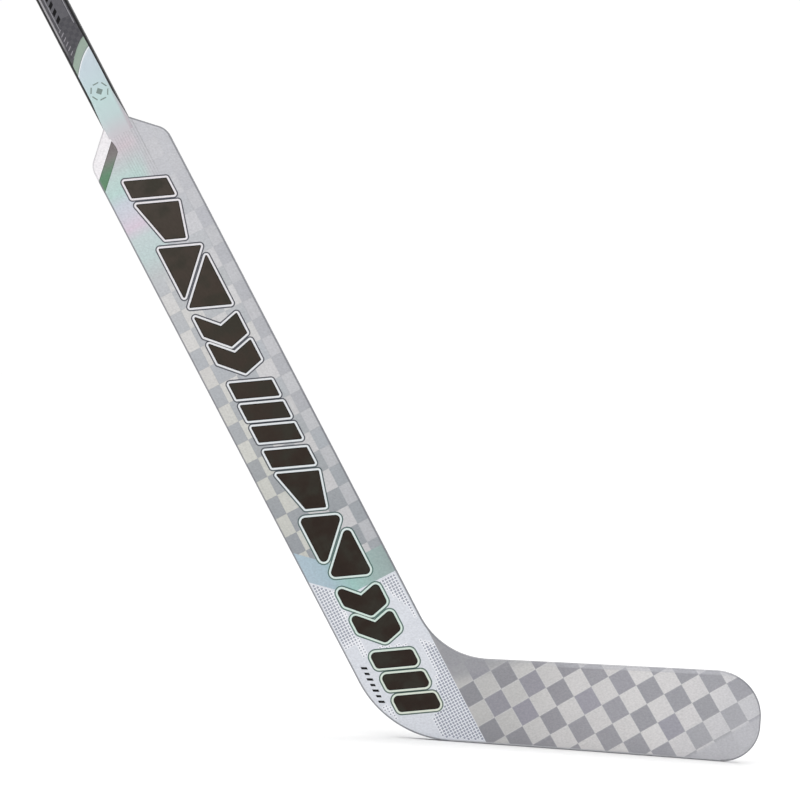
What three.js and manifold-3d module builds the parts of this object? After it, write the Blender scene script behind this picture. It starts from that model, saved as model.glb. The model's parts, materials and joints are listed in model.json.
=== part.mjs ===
// Goaltender's ice hockey stick: a hollow composite shaft, a wide paddle and a curved blade, bonded from
// foam cores, laminate skins and edge wraps.
//
// Millimetres. +Z is up, +X runs along the sole from heel to toe, and the playing face looks towards -Y.
// The stick stands as it is used, with its sole on z = 0 and its shaft leaning back over the heel.
// Outlines are worked out from the heel point, where the line of the paddle's back edge meets the line of
// the sole. The origin is on the sole, SOLE_REFERENCE from the heel point.

import * as THREE from 'three';
import { mergeVertices } from 'three/addons/utils/BufferGeometryUtils.js';
import Module from 'manifold-3d';

const wasm = await Module();
wasm.setup();

// Driving dimensions
const LIE = THREE.MathUtils.degToRad(121.6); // angle from the sole's toe side up to the shaft
const SOLE_REFERENCE = 150;

const STICK_LENGTH = 1524; // heel point to butt end, along the shaft
const PADDLE_LENGTH = 660; // heel point to the top of the shoulders, along the shaft
const PADDLE_WIDTH = 84;
const PADDLE_THICKNESS = 16;
const SHOULDER_SLOPE = 1; // fall of a shoulder for each millimetre across
const SHOULDER_RADIUS = 18;

const BLADE_LENGTH = 365; // heel point to toe, along the sole
const BLADE_HEIGHT = 80.5; // height of the top edge's line above the heel point
const BLADE_RISE = 0.0256; // rise of the top edge for each millimetre towards the toe
const BLADE_TOE_THICKNESS = 9;
const TOE_CAMBER = 16; // how far the toe curves towards the playing face
const HEEL_RADIUS = 108.5;
const THROAT_RADIUS = 79;
const TOE_SOLE_RADIUS = 36.5;
const TOE_TOP_RADIUS = 44.5;

const SHAFT_WIDTH = 28;
const SHAFT_DEPTH = 20;
const SHAFT_CORNER = 5;
const SHAFT_WALL = 2.2;
const SHAFT_SEAT = 12; // depth of the notch between the shoulders that the shaft sits in
const TENON_LENGTH = 90;
const BUTT_FLANGE = 6;
const BUTT_STEM = 30;

const SKIN = 1; // thickness of a laminate skin
const EDGE_WIDTH = 4; // width of the wrap that runs round every edge
const EDGE_ROUND = 3; // radius of the wrap's outer corners
const GAP = 0.3; // bond line between neighbouring pieces

const SPINE_WIDTH = 23;
const SPINE_WALL = 2;
const HEEL_BLOCK_TOP = 110; // height of the heel block, along the shaft
const RIB_HEIGHT = 3;
const FAIRING_LENGTH = 46;
const FAIRING_TAPER = 0.97; // share of the fairing's width that is left where it fades out
const FAIRING_TIP = 0.2; // thickness of the fairing where it fades out

const ARC_STEPS = 8;
const EDGE_STEPS = 14; // steps along the blade's top edge
const THROAT_STEPS = 10;
const ROUND_STEPS = 3; // steps in each rounded corner of an edge wrap

const HALF_PADDLE = PADDLE_THICKNESS / 2;
const SHAFT_CENTRE = PADDLE_WIDTH / 2;
const INNER = EDGE_WIDTH + GAP; // inset of everything that lies inside the edge wraps
const CORE_HALF = HALF_PADDLE - SKIN - GAP;
const SHAFT_START = PADDLE_LENGTH - SHAFT_SEAT;

// Plane of the outline: x along the sole, y up
const UP = new THREE.Vector2(Math.cos(LIE), Math.sin(LIE));
const ACROSS = new THREE.Vector2(Math.sin(LIE), -Math.cos(LIE));

// A point given by its distance from the paddle's back edge and its distance up the shaft.
function onPaddle(across, along) {
  return ACROSS.clone().multiplyScalar(across).addScaledVector(UP, along);
}

// The point at a given height on a line parallel to the shaft.
function atHeight(across, height) {
  return new THREE.Vector2((across - height * ACROSS.y) / ACROSS.x, height);
}

// The corners of the outline, counterclockwise as seen from the playing face, each with its radius.
function outlineCorners() {
  const topEdge = (x) => BLADE_HEIGHT + BLADE_RISE * x;
  const throatHeight =
    (BLADE_HEIGHT + (BLADE_RISE * PADDLE_WIDTH) / ACROSS.x) / (1 + (BLADE_RISE * ACROSS.y) / ACROSS.x);
  const halfShaft = SHAFT_WIDTH / 2;
  const shoulder = PADDLE_LENGTH - (SHAFT_CENTRE - halfShaft) * SHOULDER_SLOPE;
  return {
    heel: { at: new THREE.Vector2(0, 0), radius: HEEL_RADIUS },
    toeSole: { at: new THREE.Vector2(BLADE_LENGTH, 0), radius: TOE_SOLE_RADIUS },
    toeTop: { at: new THREE.Vector2(BLADE_LENGTH, topEdge(BLADE_LENGTH)), radius: TOE_TOP_RADIUS },
    throat: { at: atHeight(PADDLE_WIDTH, throatHeight), radius: THROAT_RADIUS },
    shoulderFront: { at: onPaddle(PADDLE_WIDTH, shoulder), radius: SHOULDER_RADIUS },
    shaftFront: { at: onPaddle(SHAFT_CENTRE + halfShaft, PADDLE_LENGTH), radius: 0 },
    shaftBack: { at: onPaddle(SHAFT_CENTRE - halfShaft, PADDLE_LENGTH), radius: 0 },
    shoulderBack: { at: onPaddle(0, shoulder), radius: SHOULDER_RADIUS },
  };
}

// Adds to each corner the centre of its arc, the inward normal where the arc starts, and how far it turns.
function roundCorners(corners) {
  const list = Object.values(corners);
  const inward = (from, to) => {
    const along = to.clone().sub(from).normalize();
    return new THREE.Vector2(-along.y, along.x);
  };
  list.forEach((corner, i) => {
    const before = inward(list[(i + list.length - 1) % list.length].at, corner.at);
    const after = inward(corner.at, list[(i + 1) % list.length].at);
    const side = Math.sign(before.cross(after));
    const reach = (side * corner.radius) / (1 + before.dot(after));
    corner.side = side;
    corner.centre = corner.at.clone().addScaledVector(before.clone().add(after), reach);
    corner.normal = before;
    corner.turn = side * Math.acos(THREE.MathUtils.clamp(before.dot(after), -1, 1));
  });
  return corners;
}

const OUTLINE = roundCorners(outlineCorners());

// The point at a share of the way round a corner's arc, moved in from the outline by an inset.
function onCorner(corner, share, inset) {
  const normal = corner.normal.clone().rotateAround(new THREE.Vector2(), corner.turn * share);
  return corner.centre.clone().addScaledVector(normal, inset - corner.side * corner.radius);
}

// A station is a function from an inset to a point: a place on the outline and all that lies inward of it.
function cornerStations(corner, from = 0, to = 1, steps = ARC_STEPS) {
  return Array.from({ length: steps + 1 }, (_, i) => {
    const share = THREE.MathUtils.lerp(from, to, i / steps);
    return (inset) => onCorner(corner, share, inset);
  });
}

// Stations along the straight edge between two corners, each end trimmed back by half a bond line.
function edgeStations(first, second, steps = 1, trimStart = GAP / 2, trimEnd = GAP / 2) {
  const length = onCorner(first, 1, 0).distanceTo(onCorner(second, 0, 0));
  const share = (i) => THREE.MathUtils.lerp(trimStart, length - trimEnd, i / steps) / length;
  return Array.from({ length: steps + 1 }, (_, i) => (inset) =>
    onCorner(first, 1, inset).lerp(onCorner(second, 0, inset), share(i)));
}

// The share of a corner's arc that half a bond line takes up.
function trimShare(corner) {
  return GAP / 2 / (corner.radius * Math.abs(corner.turn));
}

// Stations round a corner, each end trimmed back by half a bond line.
function trimmedArc(corner, steps = ARC_STEPS) {
  return cornerStations(corner, trimShare(corner), 1 - trimShare(corner), steps);
}

// How the blade is shaped at a point of the outline plane: where its middle surface lies and its half
// thickness. Both are constant on the paddle and run smoothly from the paddle's front line to the toe.
function bladeForm(point) {
  const start = atHeight(PADDLE_WIDTH, point.y).x;
  const reach = THREE.MathUtils.clamp((point.x - start) / (BLADE_LENGTH - start), 0, 1);
  const thinning = THREE.MathUtils.smoothstep(reach, 0, 1);
  return {
    middle: -TOE_CAMBER * reach * reach,
    half: THREE.MathUtils.lerp(HALF_PADDLE, BLADE_TOE_THICKNESS / 2, thinning),
  };
}

// A point of the stick: side is -1 for the playing face and 1 for the back, depth is below that surface.
function onSurface(point, side, depth) {
  const form = bladeForm(point);
  return new THREE.Vector3(point.x, form.middle + side * (form.half - depth), point.y);
}

// Geometry helpers

function closedGeometry(positions, index) {
  const volume = (i) => {
    const [a, b, c] = [0, 1, 2].map((k) => new THREE.Vector3().fromArray(positions, 3 * index[i + k]));
    return a.dot(b.cross(c));
  };
  let total = 0;
  for (let i = 0; i < index.length; i += 3) total += volume(i);
  const geometry = new THREE.BufferGeometry();
  geometry.setAttribute('position', new THREE.Float32BufferAttribute(positions, 3));
  geometry.setIndex(total < 0 ? index.slice().reverse() : index);
  geometry.computeVertexNormals();
  return geometry;
}

// A closed solid through a row of convex rings with equally many points. With a second row of rings, which
// are its bore, the solid is a tube that is open at both ends.
function loft(rings, bore = null) {
  const count = rings[0].length;
  const positions = [...rings.flat(), ...(bore ?? []).flat()].flatMap((p) => p.toArray());
  const index = [];
  const quad = (a, b, c, d) => index.push(a, b, c, b, d, c);
  const wall = (first, flip) => {
    for (let i = 0; i + 1 < rings.length; i++) {
      for (let j = 0; j < count; j++) {
        const here = first + i * count + j;
        const next = first + i * count + ((j + 1) % count);
        if (flip) quad(next, here, next + count, here + count);
        else quad(here, next, here + count, next + count);
      }
    }
  };
  const last = (rings.length - 1) * count;
  wall(0, false);
  if (bore) {
    const inside = rings.length * count;
    wall(inside, true);
    for (let j = 0; j < count; j++) {
      const next = (j + 1) % count;
      quad(next, j, inside + next, inside + j);
      quad(last + j, last + next, inside + last + j, inside + last + next);
    }
  } else {
    for (let j = 1; j + 1 < count; j++) {
      index.push(0, j + 1, j, last, last + j, last + j + 1);
    }
  }
  return closedGeometry(positions, index);
}

// A flat plate with an outline in the plane of the stick, between two levels of y.
function plate(points, low, high) {
  const geometry = new THREE.ExtrudeGeometry(new THREE.Shape(points), {
    depth: high - low,
    bevelEnabled: false,
  });
  return geometry.rotateX(Math.PI / 2).translate(0, high, 0);
}

// A block in the paddle's own directions, used to cut plates.
function paddleBlock([acrossLow, acrossHigh], [alongLow, alongHigh], depth = 4 * PADDLE_THICKNESS) {
  const middle = onPaddle((acrossLow + acrossHigh) / 2, (alongLow + alongHigh) / 2);
  const block = new THREE.BoxGeometry(acrossHigh - acrossLow, depth, alongHigh - alongLow);
  return block.rotateY(Math.PI / 2 - LIE).translate(middle.x, 0, middle.y);
}

function toSolid(geometry) {
  const bare = geometry.clone();
  bare.deleteAttribute('normal');
  bare.deleteAttribute('uv');
  const merged = mergeVertices(bare);
  return new wasm.Manifold(
    new wasm.Mesh({
      numProp: 3,
      vertProperties: new Float32Array(merged.attributes.position.array),
      triVerts: new Uint32Array(merged.index.array),
    }),
  );
}

function toGeometry(solid) {
  const { vertProperties, triVerts } = solid.getMesh();
  const geometry = new THREE.BufferGeometry();
  geometry.setAttribute('position', new THREE.BufferAttribute(vertProperties, 3));
  geometry.setIndex(new THREE.BufferAttribute(triVerts, 1));
  geometry.computeVertexNormals();
  return geometry;
}

const cutAway = (geometry, tool) => toGeometry(toSolid(geometry).subtract(toSolid(tool)));
const keepInside = (geometry, tool) => toGeometry(toSolid(geometry).intersect(toSolid(tool)));

// Materials

function finish(color, roughness, metalness = 0) {
  return new THREE.MeshStandardMaterial({ color, roughness, metalness });
}

const COLOURS = {
  shaft: 0x45454a,
  plug: 0x1c1c1e,
  laminate: 0xc4c5c8,
  edge: 0xaeb0b4,
  fairing: 0xc9dcdc,
  spine: 0x2e2f33,
  foam: 0xe8e2cf,
  heelBlock: 0xd9cfb4,
  rib: 0x33343a,
  wear: 0x8e8f94,
};

const stick = new THREE.Group();
stick.position.x = -SOLE_REFERENCE;

function addPiece(parent, name, geometry, material) {
  const mesh = new THREE.Mesh(geometry, material);
  mesh.name = name;
  parent.add(mesh);
  return mesh;
}

// Shaft, drawn in its own directions: x across, y through its depth, z up the shaft

const shaft = new THREE.Group();
const shaftFoot = onPaddle(SHAFT_CENTRE, 0);
shaft.position.set(shaftFoot.x, 0, shaftFoot.y);
shaft.rotation.y = Math.PI / 2 - LIE;
stick.add(shaft);

// A rounded rectangle as a ring of points at one height.
function sectionRing(width, depth, corner, height, steps = 4) {
  const ring = [];
  for (let quarter = 0; quarter < 4; quarter++) {
    const signX = quarter === 0 || quarter === 3 ? 1 : -1;
    const signY = quarter < 2 ? 1 : -1;
    for (let i = 0; i <= steps; i++) {
      const angle = (Math.PI / 2) * (quarter + i / steps);
      const x = signX * (width / 2 - corner) + corner * Math.cos(angle);
      const y = signY * (depth / 2 - corner) + corner * Math.sin(angle);
      ring.push(new THREE.Vector3(x, y, height));
    }
  }
  return ring;
}

function addShaft() {
  const boreWidth = SHAFT_WIDTH - 2 * SHAFT_WALL;
  const boreDepth = SHAFT_DEPTH - 2 * SHAFT_WALL;
  const boreCorner = SHAFT_CORNER - SHAFT_WALL;
  const tubeEnd = STICK_LENGTH - BUTT_FLANGE;
  const heights = [SHAFT_START, tubeEnd - GAP];
  addPiece(
    shaft,
    'shaft_tube',
    loft(
      heights.map((z) => sectionRing(SHAFT_WIDTH, SHAFT_DEPTH, SHAFT_CORNER, z)),
      heights.map((z) => sectionRing(boreWidth, boreDepth, boreCorner, z)),
    ),
    finish(COLOURS.shaft, 0.3),
  );

  const fit = (height, ease) =>
    sectionRing(boreWidth - 2 * (GAP + ease), boreDepth - 2 * (GAP + ease), boreCorner, height);
  const flange = (height, less) =>
    sectionRing(SHAFT_WIDTH - 2 * less, SHAFT_DEPTH - 2 * less, SHAFT_CORNER - less, height);
  const rounding = 1.5;
  const plugTaper = 0.5;
  addPiece(
    shaft,
    'butt_plug',
    loft([
      fit(tubeEnd - BUTT_STEM, plugTaper),
      fit(tubeEnd, 0),
      flange(tubeEnd, 0),
      flange(STICK_LENGTH - rounding, 0),
      flange(STICK_LENGTH, rounding),
    ]),
    finish(COLOURS.plug, 0.6),
  );

  // The spine fills the paddle between its skins and swells into a tenon just inside the shaft.
  const body = (height) => sectionRing(SPINE_WIDTH, 2 * CORE_HALF, 2, height);
  const spineStart = HEEL_BLOCK_TOP + GAP;
  const tenonEnd = SHAFT_START + TENON_LENGTH;
  const tenonSwell = 1.5;
  const spineHeights = [spineStart, SHAFT_START + GAP, SHAFT_START + GAP + tenonSwell, tenonEnd];
  const hollow = (height, ease) =>
    sectionRing(SPINE_WIDTH - 2 * (SPINE_WALL + ease), 2 * (CORE_HALF - SPINE_WALL - ease), 1, height);
  addPiece(
    shaft,
    'paddle_spine',
    loft(
      [body(spineHeights[0]), body(spineHeights[1]), fit(spineHeights[2], 0), fit(spineHeights[3], 0)],
      spineHeights.map((height) => hollow(height, 0)),
    ),
    finish(COLOURS.spine, 0.5),
  );
  addPiece(
    shaft,
    'spine_foam',
    loft([hollow(spineStart, GAP), hollow(tenonEnd, GAP)]),
    finish(COLOURS.foam, 0.9),
  );
}

// A thin wedge that carries the shaft's rounded face down onto the paddle's flat one.
function fairing(side) {
  const base = HALF_PADDLE + GAP;
  const rise = SHAFT_DEPTH / 2 - base;
  const flat = SHAFT_WIDTH / 2 - SHAFT_CORNER;
  const profile = [0, 0.5, 1].map((share) => {
    const above = SHAFT_CORNER - rise * (1 - share);
    return { share, halfWidth: flat + Math.sqrt(SHAFT_CORNER ** 2 - above ** 2) };
  });
  const ring = (height, narrowing, thickness) => {
    const half = profile.map(
      ({ share, halfWidth }) =>
        new THREE.Vector3(halfWidth * narrowing, side * (base + thickness * share), height),
    );
    return [...half, ...half.map(({ x, y, z }) => new THREE.Vector3(-x, y, z)).reverse()];
  };
  const top = SHAFT_START - GAP;
  return loft([ring(top - FAIRING_LENGTH, FAIRING_TAPER, FAIRING_TIP), ring(top, 1, rise)]);
}

function addFairings() {
  addPiece(shaft, 'fairing_face', fairing(-1), finish(COLOURS.fairing, 0.35));
  addPiece(shaft, 'fairing_back', fairing(1), finish(COLOURS.fairing, 0.35));
}

// Edge wraps: rounded strips that close every edge of the paddle and the blade

// The wrap's section, as insets from the outline and depths below the surface, from back to face.
function wrapSection() {
  const corner = Array.from({ length: ROUND_STEPS + 1 }, (_, i) => {
    const angle = (Math.PI / 2) * (i / ROUND_STEPS);
    return { inset: EDGE_ROUND * (1 - Math.sin(angle)), depth: EDGE_ROUND * (1 - Math.cos(angle)) };
  });
  const flat = { inset: EDGE_WIDTH, depth: 0 };
  const back = [flat, ...corner].map((p) => ({ ...p, side: 1 }));
  const face = [flat, ...corner].map((p) => ({ ...p, side: -1 })).reverse();
  return [...back, ...face];
}

function wrap(stations) {
  const section = wrapSection();
  return loft(
    stations.map((station) =>
      section.map(({ inset, depth, side }) => onSurface(station(inset), side, depth))),
  );
}

// Where the shaft sits between the shoulders, with a bond line all round.
const SHAFT_NOTCH = paddleBlock(
  [SHAFT_CENTRE - SHAFT_WIDTH / 2 - GAP, SHAFT_CENTRE + SHAFT_WIDTH / 2 + GAP],
  [SHAFT_START - GAP, PADDLE_LENGTH + SHAFT_SEAT],
);

function addWraps() {
  const { heel, toeSole, toeTop, throat, shoulderFront, shaftFront, shaftBack, shoulderBack } = OUTLINE;
  const edge = finish(COLOURS.edge, 0.4);
  const toe = [
    ...cornerStations(toeSole, trimShare(toeSole), 1),
    ...cornerStations(toeTop, 0, 1 - trimShare(toeTop)),
  ];
  const shoulders = {
    shoulder_wrap_front: [...trimmedArc(shoulderFront), ...edgeStations(shoulderFront, shaftFront)],
    shoulder_wrap_back: [...edgeStations(shaftBack, shoulderBack), ...trimmedArc(shoulderBack)],
  };
  addPiece(stick, 'paddle_wrap_front', wrap(edgeStations(throat, shoulderFront)), edge);
  addPiece(stick, 'paddle_wrap_back', wrap(edgeStations(shoulderBack, heel)), edge);
  for (const [name, stations] of Object.entries(shoulders)) {
    addPiece(stick, name, cutAway(wrap(stations), SHAFT_NOTCH), edge);
  }
  addPiece(stick, 'heel_wrap', wrap(trimmedArc(heel)), edge);
  addPiece(stick, 'throat_wrap', wrap(trimmedArc(throat, THROAT_STEPS)), edge);
  addPiece(stick, 'blade_wrap_top', wrap(edgeStations(toeTop, throat, EDGE_STEPS)), edge);
  addPiece(stick, 'blade_wrap_toe', wrap(toe), edge);
  addPiece(
    stick,
    'sole_strip',
    wrap(edgeStations(heel, toeSole, EDGE_STEPS)),
    finish(COLOURS.wear, 0.55),
  );
}

// Paddle skins and cores

// The share of the throat's arc, at an inset, where it crosses a line parallel to the shaft.
function throatCrossing(across, inset) {
  const { radius, turn } = OUTLINE.throat;
  const lean = Math.acos((radius + PADDLE_WIDTH - across) / (radius + inset));
  return 1 - lean / Math.abs(turn);
}

// Everything inside the wraps down to the sole, up to the paddle's front line.
function paddleOutline() {
  const { heel, throat, shoulderFront, shaftFront, shaftBack, shoulderBack } = OUTLINE;
  const front = PADDLE_WIDTH - GAP / 2;
  const stations = [
    ...cornerStations(heel),
    () => atHeight(front, INNER),
    ...cornerStations(throat, throatCrossing(front, INNER), 1, THROAT_STEPS / 2),
    ...cornerStations(shoulderFront),
    (inset) => onCorner(shaftFront, 0, inset),
    (inset) => onCorner(shaftBack, 1, inset),
    ...cornerStations(shoulderBack),
  ];
  return stations.map((station) => station(INNER));
}

function addPaddle() {
  const outline = paddleOutline();
  const skin = (low, high) => cutAway(plate(outline, low, high), SHAFT_NOTCH);
  const laminate = finish(COLOURS.laminate, 0.35);
  addPiece(stick, 'paddle_skin_face', skin(-HALF_PADDLE, SKIN - HALF_PADDLE), laminate);
  addPiece(stick, 'paddle_skin_back', skin(HALF_PADDLE - SKIN, HALF_PADDLE), laminate);

  const core = cutAway(plate(outline, -CORE_HALF, CORE_HALF), SHAFT_NOTCH);
  const beside = SPINE_WIDTH / 2 + GAP;
  const lowest = -PADDLE_WIDTH;
  const aboveHeel = [HEEL_BLOCK_TOP + GAP, PADDLE_LENGTH];
  const foam = finish(COLOURS.foam, 0.9);
  const blocks = {
    paddle_core_back: [[0, SHAFT_CENTRE - beside], aboveHeel, foam],
    paddle_core_front: [[SHAFT_CENTRE + beside, PADDLE_WIDTH], aboveHeel, foam],
    heel_block: [[0, PADDLE_WIDTH], [lowest, HEEL_BLOCK_TOP], finish(COLOURS.heelBlock, 0.8)],
  };
  for (const [name, [across, along, material]] of Object.entries(blocks)) {
    addPiece(stick, name, keepInside(core, paddleBlock(across, along)), material);
  }
}

// Blade skins, cores and rib

// Columns across the blade from its sole to its top edge. The first lies along the paddle's front line.
function bladeColumns() {
  const { toeSole, toeTop, throat } = OUTLINE;
  const start = PADDLE_WIDTH + GAP / 2;
  const top = [
    ...cornerStations(throat, throatCrossing(start, INNER), 0, THROAT_STEPS),
    ...edgeStations(toeTop, throat, EDGE_STEPS, 0, 0).reverse().slice(1),
  ].map((station) => station(INNER));
  const soleStart = atHeight(start, INNER);
  const soleEnd = onCorner(toeSole, 0, INNER);
  const straight = top.map((point) => {
    const share = (point.x - top[0].x) / (top.at(-1).x - top[0].x);
    return { low: soleStart.clone().lerp(soleEnd, share), high: point };
  });
  const round = Array.from({ length: ARC_STEPS }, (_, i) => {
    const share = (i + 1) / ARC_STEPS;
    return { low: onCorner(toeSole, share, INNER), high: onCorner(toeTop, 1 - share, INNER) };
  });
  return [...straight, ...round];
}

// A solid between two lines that run along the blade, each given by a column, and between two depths.
function bladeStrip(columns, edges, layers) {
  const rings = columns.map((column) => {
    const [low, high] = edges(column);
    const [outer, inner] = layers;
    return [
      onSurface(low, outer.side, outer.depth),
      onSurface(high, outer.side, outer.depth),
      onSurface(high, inner.side, inner.depth),
      onSurface(low, inner.side, inner.depth),
    ];
  });
  return loft(rings);
}

function addBlade() {
  const columns = bladeColumns();
  const whole = ({ low, high }) => [low, high];
  const skin = (side) => [{ side, depth: 0 }, { side, depth: SKIN }];
  const laminate = finish(COLOURS.laminate, 0.35);
  addPiece(stick, 'blade_skin_face', bladeStrip(columns, whole, skin(-1)), laminate);
  addPiece(stick, 'blade_skin_back', bladeStrip(columns, whole, skin(1)), laminate);

  const between = [-1, 1].map((side) => ({ side, depth: SKIN + GAP }));
  const fromMiddle = ({ low, high }, distance) => {
    const along = high.clone().sub(low).normalize();
    return low.clone().lerp(high, 0.5).addScaledVector(along, distance);
  };
  const ribHalf = RIB_HEIGHT / 2;
  const parts = {
    blade_core_lower: [(c) => [c.low, fromMiddle(c, -ribHalf - GAP)], finish(COLOURS.foam, 0.9)],
    blade_rib: [(c) => [fromMiddle(c, -ribHalf), fromMiddle(c, ribHalf)], finish(COLOURS.rib, 0.5)],
    blade_core_upper: [(c) => [fromMiddle(c, ribHalf + GAP), c.high], finish(COLOURS.foam, 0.9)],
  };
  for (const [name, [edges, material]] of Object.entries(parts)) {
    addPiece(stick, name, bladeStrip(columns, edges, between), material);
  }
}

addShaft();
addFairings();
addPaddle();
addWraps();
addBlade();

const group = new THREE.Group();
group.add(stick);

export default group;
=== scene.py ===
import cmath
import json
import math

import bmesh
import bpy
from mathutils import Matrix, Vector


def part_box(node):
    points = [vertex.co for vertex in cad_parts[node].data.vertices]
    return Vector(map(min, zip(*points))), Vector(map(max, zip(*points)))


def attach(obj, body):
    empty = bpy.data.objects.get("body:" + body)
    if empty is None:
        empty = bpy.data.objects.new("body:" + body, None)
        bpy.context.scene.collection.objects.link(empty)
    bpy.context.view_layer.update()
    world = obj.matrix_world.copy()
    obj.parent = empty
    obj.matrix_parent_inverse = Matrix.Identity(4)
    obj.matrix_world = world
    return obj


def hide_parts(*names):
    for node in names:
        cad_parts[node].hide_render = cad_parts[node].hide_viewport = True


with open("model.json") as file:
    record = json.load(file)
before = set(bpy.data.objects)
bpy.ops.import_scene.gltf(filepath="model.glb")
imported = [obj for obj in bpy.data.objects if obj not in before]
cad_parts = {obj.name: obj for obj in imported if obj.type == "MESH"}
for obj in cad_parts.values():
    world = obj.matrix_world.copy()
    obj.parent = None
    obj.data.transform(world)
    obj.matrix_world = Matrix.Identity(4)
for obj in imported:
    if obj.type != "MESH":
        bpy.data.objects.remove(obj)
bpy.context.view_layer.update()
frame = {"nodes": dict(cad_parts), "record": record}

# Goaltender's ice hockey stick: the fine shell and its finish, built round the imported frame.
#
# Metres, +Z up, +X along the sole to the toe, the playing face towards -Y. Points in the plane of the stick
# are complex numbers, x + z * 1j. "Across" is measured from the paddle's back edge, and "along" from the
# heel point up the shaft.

MM = 0.001
MOUNTS = {mount["name"]: mount for mount in frame["record"]["mounts"]}


# ------ the frame's own measures

def reach(node, direction, pick=max):
    """How far a CAD node reaches in a direction of the stick's plane."""
    vertices = frame["nodes"][node].data.vertices
    return pick(v.co.x * direction.real + v.co.z * direction.imag for v in vertices)


def end_height(node, pick):
    """The highest point at one end of a CAD node, as a point of the stick's plane."""
    vertices = [v.co for v in frame["nodes"][node].data.vertices]
    end = pick(v.x for v in vertices)
    return complex(end, max(v.z for v in vertices if abs(v.x - end) < MM))


UP = complex(MOUNTS["butt_end"]["axis"][0], MOUNTS["butt_end"]["axis"][2])
ACROSS = UP * -1j
HEEL = complex(reach("paddle_wrap_back", ACROSS, min) / ACROSS.real, 0)
FOOT = (HEEL * ACROSS.conjugate()).real
BASE = (HEEL * UP.conjugate()).real
PADDLE_WIDTH = reach("paddle_wrap_front", ACROSS) - FOOT
HALF_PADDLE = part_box("paddle_skin_back")[1].y
HALF_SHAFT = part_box("shaft_tube")[1].y
SHAFT_WIDTH = reach("shaft_tube", ACROSS) - reach("shaft_tube", ACROSS, min)
SHAFT_START = reach("shaft_tube", UP, min) - BASE
STICK_LENGTH = reach("butt_plug", UP) - BASE
FAIRING_START = reach("fairing_face", UP, min) - BASE
BLADE_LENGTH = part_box("blade_wrap_toe")[1].x - HEEL.real
BLADE_TOP = (end_height("blade_wrap_top", min), end_height("blade_wrap_top", max))
BLADE_RISE = (BLADE_TOP[1] - BLADE_TOP[0]).imag / (BLADE_TOP[1] - BLADE_TOP[0]).real
BLADE_HEIGHT = BLADE_TOP[0].imag - BLADE_RISE * (BLADE_TOP[0].real - HEEL.real)

# Measures that the frame's boxes don't give
SHAFT_SEAT = 12 * MM  # depth of the notch between the shoulders that the shaft sits in
SHAFT_CORNER = 5 * MM
SHAFT_WALL = 2.2 * MM
BUTT_FLANGE = 6 * MM
BUTT_STEM = 30 * MM
SHOULDER_RADIUS = 18 * MM
HEEL_RADIUS = 108.5 * MM
THROAT_RADIUS = 79 * MM
TOE_SOLE_RADIUS = 36.5 * MM
TOE_TOP_RADIUS = 44.5 * MM
TOE_HALF = 4.5 * MM
TOE_CAMBER = 16 * MM
SKIN = 1 * MM
EDGE_WIDTH = 4 * MM
EDGE_ROUND = 3 * MM
SEAM = 0.04 * MM  # hairline between neighbouring pieces

SHAFT_CENTRE = PADDLE_WIDTH / 2
PADDLE_LENGTH = SHAFT_START + SHAFT_SEAT
SHOULDER = PADDLE_LENGTH - (SHAFT_CENTRE - SHAFT_WIDTH / 2)  # the shoulders fall at 45 degrees
INNER = EDGE_WIDTH + SEAM

ARC_STEPS = 28
EDGE_STEPS = 48
ROUND_STEPS = 7
SHAFT_STEPS = 10
SKIN_ROWS = 6
QUARTER = math.pi / 2
CREASE = math.radians(35)
SQUARE = ((-1, -1), (1, -1), (1, 1), (-1, 1))
SIDES = {-1: "face", 1: "back"}


# ------ the outline

def on_paddle(across, along):
    """A point given by its distances across the paddle and along the shaft."""
    return HEEL + across * ACROSS + along * UP


def at_height(across, height):
    """The point at a given height on a line parallel to the shaft."""
    return HEEL + complex((across - height * ACROSS.imag) / ACROSS.real, height)


def dot(a, b):
    return (a.conjugate() * b).real


def inward(points, i):
    """The inward normals of the two edges that meet at a corner. The points run counterclockwise."""
    before = points[i] - points[i - 1]
    after = points[(i + 1) % len(points)] - points[i]
    return before / abs(before) * 1j, after / abs(after) * 1j


def lerp(a, b, share):
    return a + (b - a) * share


def clamp(share):
    return max(0.0, min(1.0, share))


def steps(count, first=0.0, last=1.0):
    return [lerp(first, last, i / count) for i in range(count + 1)]


class Corner:
    """A rounded corner of the outline, between two straight edges."""

    def __init__(self, at, radius):
        self.at = at
        self.radius = radius

    def settle(self, before, after):
        """before and after are the inward normals of the two edges."""
        self.side = math.copysign(1, (before.conjugate() * after).imag)
        self.centre = self.at + (before + after) * self.side * self.radius / (1 + dot(before, after))
        self.normal = before
        self.turn = self.side * math.acos(max(-1, min(1, dot(before, after))))

    def point(self, share, inset):
        """The point at a share of the arc, moved in from the outline by an inset."""
        normal = self.normal * cmath.rect(1, self.turn * share)
        return self.centre + normal * (inset - self.side * self.radius)

    def stations(self, first=0.0, last=1.0):
        """Places along the arc, each a function from an inset to a point."""
        shares = steps(ARC_STEPS, first, last)
        return [lambda inset, share=share: self.point(share, inset) for share in shares]

    def trimmed(self):
        """Places along the arc, each end cut back by half a seam."""
        trim = SEAM / 2 / (self.radius * abs(self.turn))
        return self.stations(trim, 1 - trim)


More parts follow.
